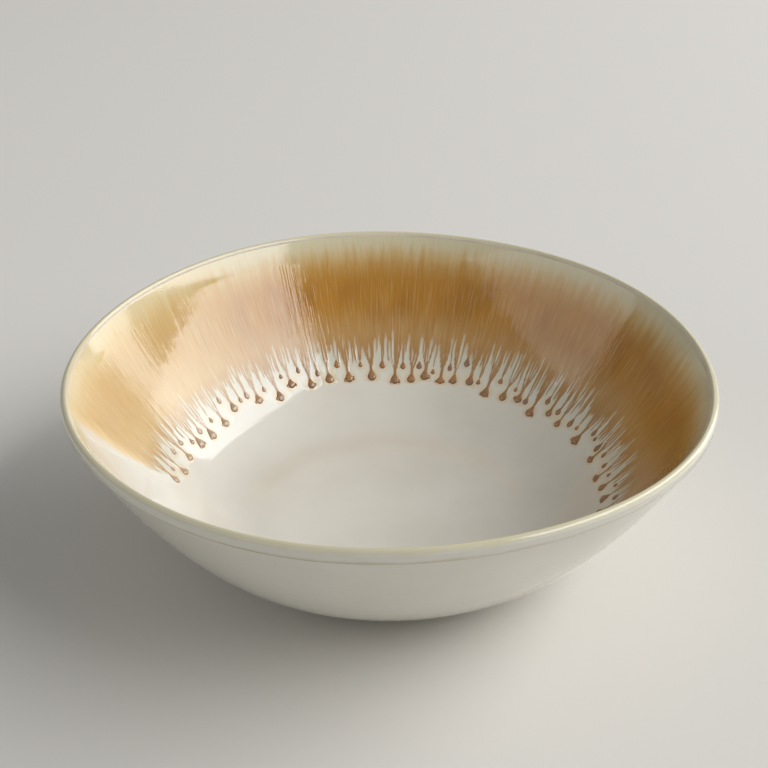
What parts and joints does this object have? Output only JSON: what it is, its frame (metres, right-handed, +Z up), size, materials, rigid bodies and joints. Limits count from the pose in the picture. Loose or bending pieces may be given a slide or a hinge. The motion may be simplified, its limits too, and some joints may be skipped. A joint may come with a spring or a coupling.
{
  "type": "porcelain serving bowl",
  "caption": "Wide shallow footed serving bowl in glazed porcelain, white with a rolled celadon lip and an amber reactive glaze that has run and beaded down the inside wall.",
  "frame": {"origin": "on the table, under the middle of the bowl, in the middle of the foot ring's standing face", "axes": "+Z up along the bowl's axis; +X to the right and +Y away as the bowl is seen from its plain white front-left side"},
  "size_m": [0.289, 0.2916, 0.0923],
  "materials": {
    "porcelain_body": "fired porcelain, under glaze",
    "foot_ring": "matt, unglazed, turned",
    "outer_glaze": "gloss white",
    "liner_glaze": "gloss white with fine specks",
    "lip_glaze": "gloss celadon",
    "amber_glaze": "gloss reactive amber with fine vertical streaks",
    "glaze_runs": "gloss",
    "glaze_beads": "gloss brown with a pale halo"
  },
  "bodies": {
    "root": {"porcelain_body": "porcelain_body", "foot_ring": "foot_ring", "outer_glaze": "outer_glaze", "liner_glaze": "liner_glaze", "lip_glaze": "lip_glaze", "amber_glaze": "amber_glaze", "glaze_runs": "glaze_runs", "glaze_beads": "glaze_beads"}
  },
  "joints": []
}
